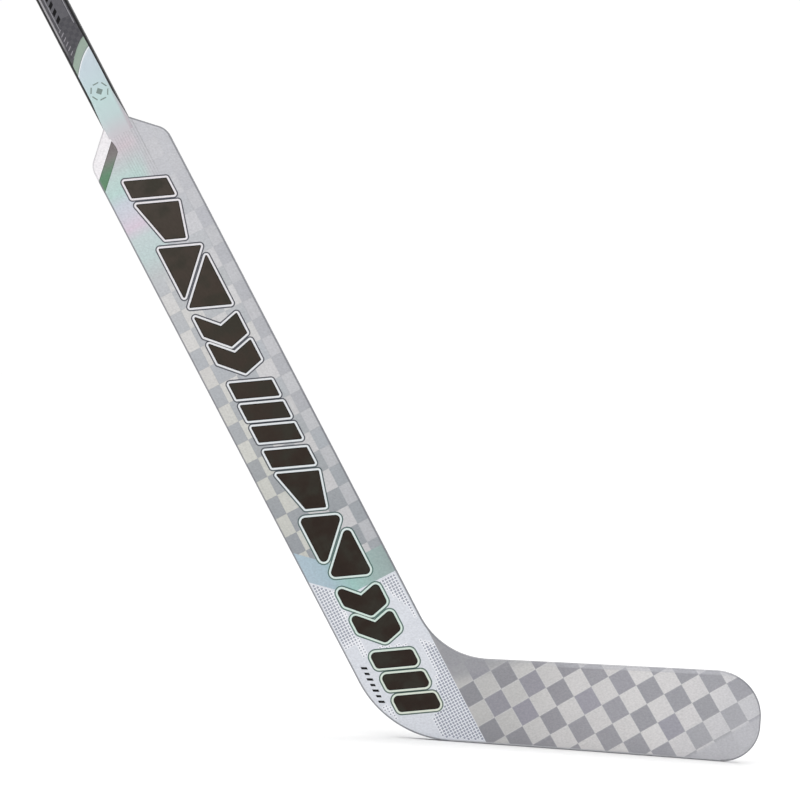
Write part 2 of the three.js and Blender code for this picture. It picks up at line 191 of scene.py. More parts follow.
def make_outline():
    """The corners counterclockwise, as seen from the playing face."""
    rise_to_throat = BLADE_RISE * PADDLE_WIDTH / ACROSS.real
    throat = (BLADE_HEIGHT + rise_to_throat) / (1 + BLADE_RISE * ACROSS.imag / ACROSS.real)
    toe_height = BLADE_HEIGHT + BLADE_RISE * BLADE_LENGTH
    half = SHAFT_WIDTH / 2
    corners = {
        "heel": Corner(HEEL, HEEL_RADIUS),
        "toe_sole": Corner(HEEL + BLADE_LENGTH, TOE_SOLE_RADIUS),
        "toe_top": Corner(HEEL + complex(BLADE_LENGTH, toe_height), TOE_TOP_RADIUS),
        "throat": Corner(at_height(PADDLE_WIDTH, throat), THROAT_RADIUS),
        "shoulder_front": Corner(on_paddle(PADDLE_WIDTH, SHOULDER), SHOULDER_RADIUS),
        "shaft_front": Corner(on_paddle(SHAFT_CENTRE + half, PADDLE_LENGTH), 0),
        "shaft_back": Corner(on_paddle(SHAFT_CENTRE - half, PADDLE_LENGTH), 0),
        "shoulder_back": Corner(on_paddle(0, SHOULDER), SHOULDER_RADIUS),
    }
    places = [corner.at for corner in corners.values()]
    for i, corner in enumerate(corners.values()):
        corner.settle(*inward(places, i))
    return corners


OUTLINE = make_outline()


def edge_stations(first, second, count=1):
    """Places along the straight edge between two corners, each end cut back by half a seam."""
    trim = SEAM / 2 / abs(second.point(0, 0) - first.point(1, 0))
    return [
        lambda inset, share=share: lerp(first.point(1, inset), second.point(0, inset), share)
        for share in steps(count, trim, 1 - trim)
    ]


def shaft_half(depth):
    """Half the shaft's width at a depth below the paddle's surface, where its rounded corner passes."""
    above = max(0.0, HALF_PADDLE - depth - (HALF_SHAFT - SHAFT_CORNER))
    return SHAFT_WIDTH / 2 - SHAFT_CORNER + math.sqrt(SHAFT_CORNER ** 2 - above ** 2)


def beside_shaft(side, inset, depth):
    """Where a shoulder ends against the shaft: side is 1 at the front and -1 at the back."""
    off = shaft_half(depth) + SEAM
    fall = off - SHAFT_WIDTH / 2 + SEAM + inset * math.sqrt(2)
    return on_paddle(SHAFT_CENTRE + side * off, PADDLE_LENGTH - fall)


def throat_crossing(across, inset):
    """The share of the throat's arc, at an inset, where it crosses a line parallel to the shaft."""
    throat = OUTLINE["throat"]
    lean = math.acos((throat.radius + PADDLE_WIDTH - across) / (throat.radius + inset))
    return 1 - lean / abs(throat.turn)


def blade_form(point):
    """The middle surface and half thickness, both even on the paddle and changing towards the toe."""
    start = at_height(PADDLE_WIDTH, point.imag).real
    share = clamp((point.real - start) / (HEEL.real + BLADE_LENGTH - start))
    thinning = share * share * (3 - 2 * share)
    return -TOE_CAMBER * share * share, lerp(HALF_PADDLE, TOE_HALF, thinning)


def raised(point, y):
    """A point of the stick's plane, moved out of the plane to y."""
    return Vector((point.real, y, point.imag))


def on_surface(point, side, depth):
    """A point of the stick: side is -1 for the playing face and 1 for the back."""
    middle, half = blade_form(point)
    return raised(point, middle + side * (half - depth))


# ------ mesh building

def loft(rings, bore=None):
    """A closed skin through rings of equally many points. With a bore it is a tube, open at both ends."""
    count = len(rings[0])
    points = [p for ring in rings for p in ring]
    faces = []

    def wall(first):
        for i in range(len(rings) - 1):
            for j in range(count):
                here = first + i * count + j
                after = first + i * count + (j + 1) % count
                faces.append((here, after, after + count, here + count))

    wall(0)
    last = (len(rings) - 1) * count
    if bore:
        inside = len(points)
        points += [p for ring in bore for p in ring]
        wall(inside)
        for end in (0, last):
            for j in range(count):
                after = (j + 1) % count
                faces.append((end + j, end + after, inside + end + after, inside + end + j))
    else:
        faces.append(tuple(range(count)))
        faces.append(tuple(range(last, last + count)))
    return points, faces


def join(*solids):
    """Several solids as the points and faces of one mesh."""
    points, faces = [], []
    for more_points, more_faces in solids:
        base = len(points)
        points += more_points
        faces += [tuple(base + i for i in face) for face in more_faces]
    return points, faces


def add_object(name, data):
    made = bpy.data.objects.new(name, data)
    bpy.context.scene.collection.objects.link(made)
    return made


def add_piece(name, solid, material, slot, *nodes):
    """A smooth-shaded piece of the stick, standing for the CAD nodes it names."""
    mesh = bpy.data.meshes.new(name)
    mesh.from_pydata(solid[0], [], solid[1])
    shape = bmesh.new()
    shape.from_mesh(mesh)
    bmesh.ops.recalc_face_normals(shape, faces=shape.faces)
    shape.to_mesh(mesh)
    shape.free()
    mesh.shade_smooth()
    mesh.set_sharp_from_angle(angle=CREASE)
    mesh.materials.append(material)
    piece = add_object(name, mesh)
    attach(piece, "root")
    if nodes:
        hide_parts(*nodes)


# ------ node graphs

def rgb(text):
    """A colour written as hex digits, as the shader wants it."""
    channels = [int(text[i:i + 2], 16) / 255 for i in (0, 2, 4)]
    return (*(c / 12.92 if c <= 0.04045 else ((c + 0.055) / 1.055) ** 2.4 for c in channels), 1)


def math_node(operation):
    """A method that adds the node of a math operation to its value's graph."""
    return lambda value, *others: value.graph.math(operation, value, *others)


class Value:
    """The output of a node, with arithmetic that adds the nodes of a formula."""

    def __init__(self, graph, socket):
        self.graph = graph
        self.socket = socket

    __add__ = __radd__ = math_node("ADD")
    __sub__ = math_node("SUBTRACT")
    __mul__ = __rmul__ = math_node("MULTIPLY")
    __truediv__ = math_node("DIVIDE")
    __gt__ = math_node("GREATER_THAN")
    __lt__ = math_node("LESS_THAN")
    __abs__ = math_node("ABSOLUTE")
    floor = math_node("FLOOR")
    wrap = math_node("FLOORED_MODULO")
    either = math_node("MAXIMUM")

    def __rsub__(self, other):
        return self.graph.math("SUBTRACT", other, self)

    def rise(self, low, high):
        """0 below low, 1 above high and smooth between. With low above high it falls instead."""
        inputs = {"Value": self, "From Min": low, "From Max": high}
        return self.graph.node("ShaderNodeMapRange", inputs, interpolation_type="SMOOTHSTEP")

    def slope(self, low, high, first, last):
        """A straight line from first at low to last at high, held flat outside them."""
        inputs = {"Value": self, "From Min": low, "From Max": high, "To Min": first, "To Max": last}
        return self.graph.node("ShaderNodeMapRange", inputs)


class Graph:
    """The node graph of a material or a world, written as formulas. Colours can be hex digits."""

    def __init__(self, owner):
        owner.use_nodes = True
        self.owner = owner
        self.nodes = owner.node_tree.nodes
        self.links = owner.node_tree.links

    def node(self, kind, inputs, output=0, **settings):
        made = self.nodes.new(kind)
        for name, value in settings.items():
            setattr(made, name, value)
        for key, value in inputs.items():
            self.feed(made.inputs[key], value)
        return Value(self, made.outputs[output])

    def feed(self, socket, value):
        if isinstance(value, Value):
            self.links.new(value.socket, socket)
        else:
            socket.default_value = rgb(value) if isinstance(value, str) else value

    def math(self, operation, *values):
        return self.node("ShaderNodeMath", dict(enumerate(values)), operation=operation)

    def choose(self, share, first, second):
        """A number that is first where share is 0 and second where it is 1."""
        return self.math("MULTIPLY_ADD", share, second - first, first)

    def mix(self, share, first, second):
        """A colour between two colours."""
        inputs = {0: share, 6: first, 7: second}
        return self.node("ShaderNodeMix", inputs, output=2, data_type="RGBA")

    def tint(self, colour, share):
        """A colour made lighter or darker by a share that is 1 for no change."""
        colour = rgb(colour)[:3] if isinstance(colour, str) else colour
        return self.node("ShaderNodeVectorMath", {0: colour, "Scale": share}, operation="SCALE")

    def stops(self, value, stops):
        """A colour that runs through the colours given for places."""
        low, high = min(stops), max(stops)
        ramp = self.node("ShaderNodeValToRGB", {"Fac": (value - low) / (high - low)})
        elements = ramp.socket.node.color_ramp.elements
        while len(elements) < len(stops):
            elements.new(0.5)
        for element, (place, colour) in zip(elements, stops.items()):
            element.position = (place - low) / (high - low)
            element.color = rgb(colour)
        return ramp

    def vector(self, x, y, z=0.0):
        return self.node("ShaderNodeCombineXYZ", {0: x, 1: y, 2: z})

    def split(self, vector):
        """The x, y and z of a vector."""
        outputs = self.node("ShaderNodeSeparateXYZ", {0: vector}).socket.node.outputs
        return [Value(self, output) for output in outputs]

    def noise(self, vector, scale, detail=2.0):
        """Cloudy noise around 0."""
        inputs = {"Vector": vector, "Scale": scale, "Detail": detail}
        return self.node("ShaderNodeTexNoise", inputs) - 0.5

    def bubbles(self, scale):
        """Cells of a foam or a leather grain: 0 in their middles, growing outward."""
        return self.node("ShaderNodeTexVoronoi", {"Vector": self.place(), "Scale": scale})

    def random(self, vector):
        """A random number around 0 for each whole-number place."""
        return self.node("ShaderNodeTexWhiteNoise", {"Vector": vector}, noise_dimensions="3D") - 0.5

    def place(self):
        """A point in the frame."""
        return self.node("ShaderNodeTexCoord", {}, output=3)

    def normal(self):
        """The x, y and z of the direction that the surface faces."""
        return self.split(self.node("ShaderNodeNewGeometry", {}, output=1))

    def stick_place(self):
        """Distances across the paddle, along the shaft, from the heel point along the sole, and up."""
        x, _, z = self.split(self.place())
        across = x * ACROSS.real + z * ACROSS.imag - FOOT
        along = x * UP.real + z * UP.imag - BASE
        return across, along, x - HEEL.real, z


def new_material(name):
    return Graph(bpy.data.materials.new(name))


def surface(graph, colour, roughness, height=None, relief=0.0, gloss=()):
    """Feeds a material's shader and returns the material. height is a bump in metres, relief how strongly
    it shows, and gloss the specular level, the weight of the clear coat and the coat's roughness."""
    inputs = {"Base Color": colour, "Roughness": roughness}
    inputs.update(zip(("Specular IOR Level", "Coat Weight", "Coat Roughness"), gloss))
    if height is not None:
        bump = {"Height": height, "Distance": 1.0, "Strength": relief}
        inputs["Normal"] = graph.node("ShaderNodeBump", bump)
    for key, value in inputs.items():
        graph.feed(graph.nodes["Principled BSDF"].inputs[key], value)
    return graph.owner


# ------ print of paddle and blade

ROW = 19.2 * MM  # width of a tow across the paddle
COLUMN = 20.5 * MM  # width of a tow along the paddle
ROW_START = 13.6 * MM
COLUMN_START = 199.6 * MM
BLADE_WEAVE_AT = complex(222.5, 42.95) * MM  # the middle of a dark cell of the blade's weave
BLADE_WEAVE_TURN = math.radians(34.0)
BLADE_CELL = (19.5 * MM, 21.0 * MM)

# Borders that run level from the front and then rise to the back edge, in mm: their places along the
# shaft at the front and at the back, and the place across where they bend
HEEL_BORDER = (141.5, 172.0, 33.0)
BAND_BORDER = (170.5, 204.5, 36.0)

# The accent on the back shoulder: along minus across at its two long sides, and its inner end
ACCENT_LOW = 0.6025
ACCENT_HIGH = 0.6158
ACCENT_END = 31.2 * MM
ACCENT_CURVE_AT = 0.638
ACCENT_CURVE = 22.0
SHOULDER_INNER = 30.2 * MM  # how far across the white of the back shoulder reaches


class Weave:
    """A checker of flat tows. u and v are in cells, and a cell is light where light is 1."""

    def __init__(self, graph, u, v, light_parity=0):
        column, row = u.floor(), v.floor()
        odd = (column + row).wrap(2.0)
        self.light = odd if light_parity else 1.0 - odd
        self.random = graph.random(graph.vector(column, row))
        long_scale, fine_scale = 0.5, 16.0
        warp = graph.noise(graph.vector(u * long_scale, v * fine_scale), 1.0, 3.0)
        weft = graph.noise(graph.vector(u * fine_scale, v * long_scale), 1.0, 3.0)
        self.fibre = graph.choose(self.light, weft, warp)
        edge_u, edge_v = abs(u - column - 0.5), abs(v - row - 0.5)
        self.border = edge_u.either(edge_v).rise(0.45, 0.5)


def paddle_print(graph, across, along):
    """The paddle's weave and its colour, which grows paler up the paddle and differs in the front row."""
    weave = Weave(graph, (along - COLUMN_START) / COLUMN, (across - ROW_START) / ROW)
    back_light = graph.stops(along, {
        0.20: "c8c8c2", 0.30: "cdcdc7", 0.36: "d1d0cc", 0.40: "d1cfcd",
        0.47: "d1d0cf", 0.56: "cfcfd2", 0.66: "cacacd",
    })
    middle_light = graph.stops(along, {
        0.20: "c8c7c9", 0.30: "c8c7c8", 0.37: "cccbcd", 0.42: "d0cfcf",
        0.47: "d1d0d2", 0.53: "cacace", 0.66: "cacacd",
    })
    light = graph.mix(across.rise(16 * MM, 50 * MM), back_light, middle_light)
    dark = graph.stops(along, {
        0.20: "989ca1", 0.30: "a5a8ab", 0.40: "b2b5ba",
        0.47: "bcbec1", 0.56: "c0c2c7", 0.66: "c4c4c9",
    })
    pale_patch = across.rise(30 * MM, 60 * MM) * along.rise(0.27, 0.31) * along.rise(0.43, 0.38)
    dark = graph.tint(dark, 1.0 + pale_patch * 0.10)
    front_dark = graph.stops(along, {
        0.25: "a0a4a9", 0.29: "abafb4", 0.33: "b2b3b8", 0.42: "b3b4b9",
        0.47: "b8b9be", 0.54: "b8b9bf", 0.60: "c2c3c8",
    })
    front_light = graph.stops(along, {0.22: "babbbf", 0.30: "bebfc2", 0.40: "c3c3c7", 0.60: "c4c5c9"})
    front = graph.mix(weave.light, front_dark, front_light)
    colour = graph.mix(weave.light, dark, light)
    colour = graph.mix(across.rise(70.0 * MM, 71.2 * MM), colour, front)
    return weave, graph.tint(colour, 1.0 + weave.random * 0.07 + weave.fibre * 0.13 - weave.border * 0.05)


def pearl_print(graph, along):
    """Pearl colours that change down the shaft and the top of the paddle."""
    return graph.stops(along, {
        0.490: "c2c4c8", 0.507: "c0c4c6", 0.528: "c0d0d0", 0.548: "c5d2d3", 0.560: "d8cad8",
        0.572: "d1cfda", 0.585: "cad0da", 0.597: "bbd4d0", 0.610: "bfd3d0", 0.622: "c3c9cb",
        0.636: "cfc4cb", 0.652: "c9c8cd", 0.668: "c2d3d4", 0.690: "c3dad9", 0.705: "c5d6db",
        0.725: "c7d4dc", 0.740: "ccd5de",
    })


def pearl_top(graph, across, along, colour):
    """The pale top of the paddle, with pearl colours along its back edge, pinstripes under the shaft, and a
    painted shade line along the ridge below the shaft's front edge.
    """
    colour = graph.mix(along.rise(0.50, 0.62) * 0.5, colour, "c8c8cd")
    swirl = graph.noise(graph.vector(across, along), 30.0) * (14 * MM)
    ridge = along.slope(0.50, 0.66, 30 * MM, 56 * MM)
    pearl = (across + swirl - ridge).rise(6 * MM, -8 * MM) * along.rise(0.485, 0.51)
    colour = graph.mix(pearl, colour, pearl_print(graph, along))
    stripes = across.wrap(2.6 * MM) < 0.6 * MM
    stripes = stripes * across.rise(29 * MM, 35 * MM) * across.rise(58 * MM, 56.5 * MM)
    colour = graph.tint(colour, 1.0 - stripes * along.rise(0.56, 0.61) * 0.16)
    # Painted shade: a thin darker line along the ridge where the shaft's front edge runs down into the
    # paddle.
    ridge_shade_line = abs(across - 57.4 * MM).rise(0.8 * MM, 0.4 * MM) * along.rise(0.575, 0.63)
    return graph.tint(colour, 1.0 - ridge_shade_line * 0.18)


def back_shoulder(graph, across, along, colour):
    """The white back shoulder, and the slanted accent beside it with its darker rim."""
    slant = along - across
    colour = graph.mix((slant > ACCENT_HIGH) * (across < SHOULDER_INNER), colour, "f3f0f3")
    from_middle = along - ACCENT_CURVE_AT
    end = ACCENT_END - from_middle * from_middle * ACCENT_CURVE
    accent = (slant > ACCENT_LOW) * (slant < ACCENT_HIGH) * (across < end)
    shade = graph.stops(along, {
        0.605: "5f8765", 0.618: "648b70", 0.632: "827e7d", 0.646: "756c6e", 0.652: "5c5557",
    })
    rim = (slant > ACCENT_HIGH - 1.1 * MM).either(slant < ACCENT_LOW + 0.9 * MM)
    rim = rim.either(across > end - 0.9 * MM)
    return graph.mix(accent, colour, graph.tint(shade, 1.0 - rim * 0.35))


def chevron(across, border):
    """The place along the shaft of a border that bends up to the back edge."""
    front, back, bend = (measure * MM for measure in border)
    return across.slope(0.0, bend, back, front)


def heel_print(graph, across, along, colour):
    """The pale heel, with a band above it."""
    band = graph.stops(across, {
        0.0: "afc1cd", 0.02: "a8bdc8", 0.04: "9dc2bc", 0.062: "9db3b0", 0.084: "98a8a7",
    })
    colour = graph.mix(along < chevron(across, BAND_BORDER), colour, band)
    return graph.mix(along < chevron(across, HEEL_BORDER), colour, "dbdee5")


def blade_print(graph, forward, up):
    """The blade's weave and its colour."""
    x, z = forward - BLADE_WEAVE_AT.real, up - BLADE_WEAVE_AT.imag
    turn = cmath.rect(1, BLADE_WEAVE_TURN)
    u = (x * turn.real + z * turn.imag) / BLADE_CELL[0] + 0.5
    v = (z * turn.real - x * turn.imag) / BLADE_CELL[1] + 0.5
    weave = Weave(graph, u, v, light_parity=1)
    dark = graph.stops(forward, {
        0.09: "8e8e93", 0.15: "95949a", 0.20: "9e9da3", 0.28: "9f9fa5", 0.365: "a4a4a9",
    })
    light = graph.stops(forward, {
        0.09: "bcbbba", 0.13: "c2c1c0", 0.17: "cdcbcb",
        0.25: "d6d4d4", 0.30: "d6d4d5", 0.365: "c8c8cc",
    })
    colour = graph.mix(weave.light, dark, light)
    colour = graph.tint(colour, 1.0 + weave.random * 0.06 + weave.fibre * 0.11)
    lilac = (1.0 - weave.light) * weave.random.rise(0.0, 0.5) * 0.45
    colour = graph.mix(lilac, colour, "9c99a9")
    seams = graph.mix(weave.light, "b9b9bd", "d6d5d6")
    colour = graph.mix(weave.border * 0.45, colour, seams)
    throat = (up - forward * 0.35).rise(30 * MM, 46 * MM) * forward.rise(0.20, 0.06)
    colour = graph.mix(throat * 0.9, colour, "9b9ba0")
    faded_row = v.rise(-1.9, -2.1) * forward.rise(0.27, 0.29) * 0.28
    bare_corner = v.rise(-2.95, -3.2) * forward.rise(0.25, 0.29)
    colour = graph.mix(bare_corner.either(faded_row) * 0.92, colour, "bcbcc1")
    from_top = up - forward * BLADE_RISE - BLADE_HEIGHT
    strip = from_top.rise(-4.6 * MM, -3.8 * MM) * forward.rise(0.12, 0.20)
    return weave, graph.mix(strip * 0.55, colour, "c3c3c9")


def stick_print(graph):
    """The print of paddle and blade: its colour, where it is woven, its fibres, light cells and seams."""
    across, along, forward, up = graph.stick_place()
    paddle, colour = paddle_print(graph, across, along)
    colour = pearl_top(graph, across, along, colour)
    colour = back_shoulder(graph, across, along, colour)
    colour = heel_print(graph, across, along, colour)
    blade, blade_colour = blade_print(graph, forward, up)
    on_blade = across > PADDLE_WIDTH
    woven = on_blade.either((along > chevron(across, BAND_BORDER)) * along.rise(0.60, 0.50))
    fibre = graph.choose(on_blade, paddle.fibre, blade.fibre)
    light = graph.choose(on_blade, paddle.light, blade.light)
    border = graph.choose(on_blade, paddle.border, blade.border)
    return graph.mix(on_blade, colour, blade_colour), woven, fibre, light, border


# ------ materials

BAND_AT = 0.728  # the place along the shaft of the border between pearl and charcoal, at its start
PANEL_END = 1.02  # how far up the shaft its small prints reach
LINES_START = 0.766
RING = (1.36, 1.372)  # the pale ring near the shaft's top
RING_LINE = (1.374, 1.3755)


def face_laminate():
    """The printed laminate: woven tows under a clear coat, with grey edges that are partly paint and partly
    painted shade where they turn away from the face.
    """
    graph = new_material("face_laminate")
    colour, woven, fibre, light, border = stick_print(graph)
    across, along, forward, up = graph.stick_place()
    blade_edge = forward.rise(0.02, 0.10) * forward.rise(0.35, 0.32)
    pale_edge = ((along - across > ACCENT_HIGH) * (across < 30 * MM)).either(blade_edge)
    fairing = (abs(graph.split(graph.place())[1]) > HALF_PADDLE + SEAM / 4) * (along > FAIRING_START)
    # The grey on the rounded edges is partly paint and partly painted shade: it darkens the edges as they
    # turn away from the face, less where the edges are pale, and not on the fairings.
    facing = abs(graph.normal()[1])
    edge = facing.rise(0.97, 0.78) * (0.9 - pale_edge * 0.6) * (1.0 - fairing)
    speckle = graph.noise(graph.vector(across, along, up), 480.0)
    colour = graph.mix(edge, colour, "77787e")
    colour = graph.tint(colour, 1.0 + speckle * 0.40)
    roughness = 0.34 + light * woven * 0.06 + speckle * 0.08
    height = woven * ((fibre * 0.05 - border * 0.05) * MM) + speckle * (0.01 * MM)
    return surface(graph, colour, roughness, height, 0.6, gloss=(0.35, 0.2, 0.12))


def charcoal_print(graph, off, along, weave):
    """Charcoal carbon with a panel, a stripe, thin lines, hatching and plain blocks."""
    colour = graph.mix(weave.light, "4f4e53", "57565a")
    colour = graph.tint(colour, 1.0 + weave.fibre * 0.3)
    panel = (abs(off) < 8 * MM) * (along > 0.775) * (along < PANEL_END)
    colour = graph.mix(panel * 0.6, colour, "6a696e")
    stripe = abs(off + 11.0 * MM).rise(1.3 * MM, 0.9 * MM) * along.rise(0.735, 0.765)
    colour = graph.mix(stripe * 0.9, colour, "aaa8ab")
    lines = (abs(off - 9.2 * MM) < 0.4 * MM).either(abs(off + 6.8 * MM) < 0.3 * MM)
    colour = graph.mix(lines * (along > LINES_START) * 0.8, colour, "a5a4a9")
    slanted = along - off * 0.8
    hatch = (slanted.wrap(5 * MM) < 1.2 * MM) * (off < -4.6 * MM) * (off > -8.4 * MM) * (along < LINES_START)
    colour = graph.mix(hatch * (along > 0.735) * 0.6, colour, "b0acb3")
    blocks = (slanted.wrap(8 * MM) < 4.5 * MM) * (off < -1.0 * MM) * (off > -5.6 * MM)
    return graph.mix(blocks * (along > 0.772) * (along < PANEL_END), colour, "141416")


def shaft_composite():
    """Charcoal carbon above, pale pearl print below, parted by a curved band, on black sides."""
    graph = new_material("shaft_composite")
    across, along, _, _ = graph.stick_place()
    off = across - SHAFT_CENTRE
    from_edge = off + 12 * MM
    border = along - (BAND_AT + from_edge * 1.45 - from_edge * from_edge * 21.0)
    weave = Weave(graph, along / (4 * MM), (off + 40 * MM) / (4 * MM))
    pearl = graph.noise(graph.vector(off * 3.0, along), 60.0)
    pale = graph.tint(pearl_print(graph, along), 1.0 + pearl * 0.05)
    pale = graph.mix(off.rise(9 * MM, 12 * MM) * along.rise(0.72, 0.66) * 0.7, pale, "b9aeb6")
    band = graph.tint("9aaa9e", 1.0 + pearl * 0.12 - (border > -1.2 * MM) * 0.15)
    colour = graph.mix(border.rise(-11.6 * MM, -13.8 * MM), "f2f4f8", pale)
    colour = graph.mix(border > -11.4 * MM, colour, "8b9795")
    colour = graph.mix(border > -10.2 * MM, colour, band)
    colour = graph.mix(border > 0.0, colour, charcoal_print(graph, off, along, weave))
    for (start, end), tone in ((RING, "95a599"), (RING_LINE, "dfe3e6")):
        colour = graph.mix((along > start) * (along < end), colour, tone)
    half_print = along.slope(0.655, 0.690, 14.0 * MM, 11.6 * MM)
    half_print = half_print - along.rise(0.71, 0.78) * (0.8 * MM) * (off > 0.0)
    black = graph.tint("131315", 1.0 + weave.fibre * 0.8 + pearl * 0.5)
    colour = graph.mix((abs(off) - half_print).rise(-0.15 * MM, 0.15 * MM), colour, black)
    roughness = 0.30 + weave.light * 0.05 + pearl * 0.08
    grain = weave.fibre * (0.03 * MM) * (border > 0.0)
    return surface(graph, colour, roughness, grain, 0.5, gloss=(0.2, 0.12, 0.08))


def sole_wear():
    """The face laminate's pattern, with a dull wear strip under the sole, coloured pale as painted light
    against the contact shadow there.
    """
    graph = new_material("sole_wear")
    colour, woven, fibre, _, _ = stick_print(graph)
    # The pale grey under the sole is partly the wear strip and partly painted light that lifts the contact
    # shadow there.
    under = (0.0 - graph.normal()[2]).rise(0.25, 0.6)
    x, y, z = graph.split(graph.place())
    grain = graph.noise(graph.vector(x * 0.15, y, z), 1400.0, 4.0)
    colour = graph.mix(under, colour, graph.tint("c0c1c5", 1.0 + grain * 0.5))
    height = grain * under * (0.06 * MM) + woven * fibre * (0.04 * MM)
    return surface(graph, colour, 0.36 + under * 0.25 + grain * 0.1, height, 0.7)


def butt_rubber():
    """Moulded black rubber with a fine leather-like grain."""
    graph = new_material("butt_rubber")
    speckle = graph.noise(graph.place(), 300.0, 4.0)
    colour = graph.tint("1b1b1d", 1.0 + speckle * 0.6)
    return surface(graph, colour, 0.55 + speckle * 0.15, graph.bubbles(900.0) * (0.08 * MM), 0.8)


def core_foam(name, tone, bubble):
    """Rigid closed-cell foam with bubbles of the given size."""
    graph = new_material(name)
    cells = graph.bubbles(1 / bubble)
    return surface(graph, graph.tint(tone, 1.05 - cells * 0.35), 0.85 - cells * 0.1, cells * bubble, 0.4)


def bare_carbon():
    """Twill-woven carbon with no print."""
    graph = new_material("bare_carbon")
    across, along, _, _ = graph.stick_place()
    weave = Weave(graph, along / (2 * MM), across / (2 * MM))
    colour = graph.mix(weave.light, "1d1e21", "2c2d31")
    colour = graph.tint(colour, 1.0 + weave.fibre * 0.5)
    return surface(graph, colour, 0.38 + weave.light * 0.1, weave.fibre * (0.04 * MM), 0.6)


def ink(name, mottle, colours, cast=None):
    """A printed film whose colour runs along the shaft through the given stops, clouded with a cast."""
    graph = new_material(name)
    across, along, _, _ = graph.stick_place()
    cloud = graph.noise(graph.vector(across, along), 45.0, 3.0)
    fine = graph.noise(graph.vector(across, along * 0.3), 700.0)
    colour = graph.stops(along, colours)
    if cast:
        colour = graph.mix(cloud.rise(-0.12, 0.16) * 0.7, colour, cast)
    colour = graph.tint(colour, 1.0 + cloud * mottle + fine * mottle * 0.3)
    return surface(graph, colour, 0.35 + fine * 0.08, fine * (0.01 * MM), 0.4, gloss=(0.15, 0.06, 0.12))


LAMINATE = face_laminate()
SHAFT_PRINT = shaft_composite()
SOLE = sole_wear()
RUBBER = butt_rubber()
FOAM = core_foam("core_foam", "e8e2cf", 1.2 * MM)
HEEL_FOAM = core_foam("heel_foam", "d3c49c", 0.7 * MM)
CARBON = bare_carbon()
FILL_TONES = {0.0: "2a1e17", 0.25: "2d221b", 0.45: "433a33", 0.62: "4c453f"}
FILL_INK = ink("mark_fill", 0.75, FILL_TONES, cast="2e2e27")
RIM_INK = ink("mark_rim", 0.3, {0.0: "16120e", 0.62: "221e1b"})
OUTLINE_INK = ink("mark_outline", 0.03, {0.0: "dfe4d6", 0.12: "d2e4dc", 0.24: "e0e6e8", 0.62: "e8e3e7"})
KEYLINE_INK = ink("mark_keyline", 0.15, {0.0: "5a6b63", 0.15: "58756f", 0.3: "55585f", 0.62: "5a5b62"})
DOT_INK = ink("halftone", 0.1, {0.0: "9b9fad", 0.2: "a0a5b0"})
BLACK_INK = ink("small_print", 0.3, {0.0: "141415", 0.8: "1a1a1c"})
GROUND_INK = ink("halftone_ground", 0.03, {0.0: "f0f1f6", 0.2: "f3f3f7"})
GREY_INK = ink("emblem_print", 0.15, {0.6: "7f908c", 0.8: "87938f"})


# ------ shaft and butt plug

BORE = (SHAFT_WIDTH - 2 * SHAFT_WALL, 2 * (HALF_SHAFT - SHAFT_WALL), SHAFT_CORNER - SHAFT_WALL)
TUBE_END = STICK_LENGTH - BUTT_FLANGE
FLAT_HOLD = 0.5 * MM  # how far a flat is held straight beside a corner


def on_shaft(off, y, along):
    """A point by its distance from the shaft's middle line, its depth and its place along."""
    return raised(on_paddle(SHAFT_CENTRE + off, along), y)


def section_ring(width, depth, corner, along):
    """A rounded rectangle round the shaft's middle line, with its flats held straight."""
    ring = []
    for quarter in range(4):
        x, y = SQUARE[quarter - 2]
        centre = complex(x * (width / 2 - corner), y * (depth / 2 - corner))
        arc = [centre + cmath.rect(corner, QUARTER * (quarter + share)) for share in steps(SHAFT_STEPS)]
        first = cmath.rect(FLAT_HOLD, QUARTER * (quarter - 1))
        last = cmath.rect(FLAT_HOLD, QUARTER * (quarter + 2))
        ring += [arc[0] + first, *arc, arc[-1] + last]
    return [on_shaft(p.real, p.imag, along) for p in ring]


def add_shaft():
    places = steps(24, SHAFT_START, TUBE_END - SEAM)
    outer = [section_ring(SHAFT_WIDTH, 2 * HALF_SHAFT, SHAFT_CORNER, place) for place in places]
    inner = [section_ring(*BORE, place) for place in places]
    add_piece("shaft_tube_printed", loft(outer, inner), SHAFT_PRINT, "shaft_composite", "shaft_tube")


def stem_ring(gap, place):
    """A ring of the butt plug's stem, with a gap to the bore."""
    return section_ring(BORE[0] - 2 * gap, BORE[1] - 2 * gap, BORE[2], place)


def flange_ring(less, place):
    """A ring of the butt plug's flange, smaller than the shaft by less all round."""
    corner = max(SHAFT_CORNER - less, 0.6 * MM)
    return section_ring(SHAFT_WIDTH - 2 * less, 2 * (HALF_SHAFT - less), corner, place)


def add_butt_plug():
    """A tapered stem, then a flange with a groove, a rounded rim and a dished end."""
    ease = 0.3 * MM
    groove = 0.35 * MM
    rim = 1.5 * MM
    dish = 0.6 * MM
    rings = [stem_ring(0.8 * MM, TUBE_END - BUTT_STEM), stem_ring(ease, TUBE_END - BUTT_STEM * 0.9)]
    rings += [stem_ring(ease, TUBE_END), flange_ring(0, TUBE_END), flange_ring(0, TUBE_END + 1.3 * MM)]
    rings += [flange_ring(groove * math.sin(math.pi * t), TUBE_END + (1.3 + t) * MM) for t in steps(6)[1:]]
    rings += [
        flange_ring(rim * (1 - math.cos(QUARTER * t)), STICK_LENGTH - rim * (1 - math.sin(QUARTER * t)))
        for t in steps(6)
    ]
    rings += [flange_ring(3.2 * MM, STICK_LENGTH), flange_ring(3.8 * MM, STICK_LENGTH - dish)]
    rings.append(flange_ring(5 * MM, STICK_LENGTH - dish))
    add_piece("butt_plug_moulded", loft(rings), RUBBER, "butt_rubber", "butt_plug")


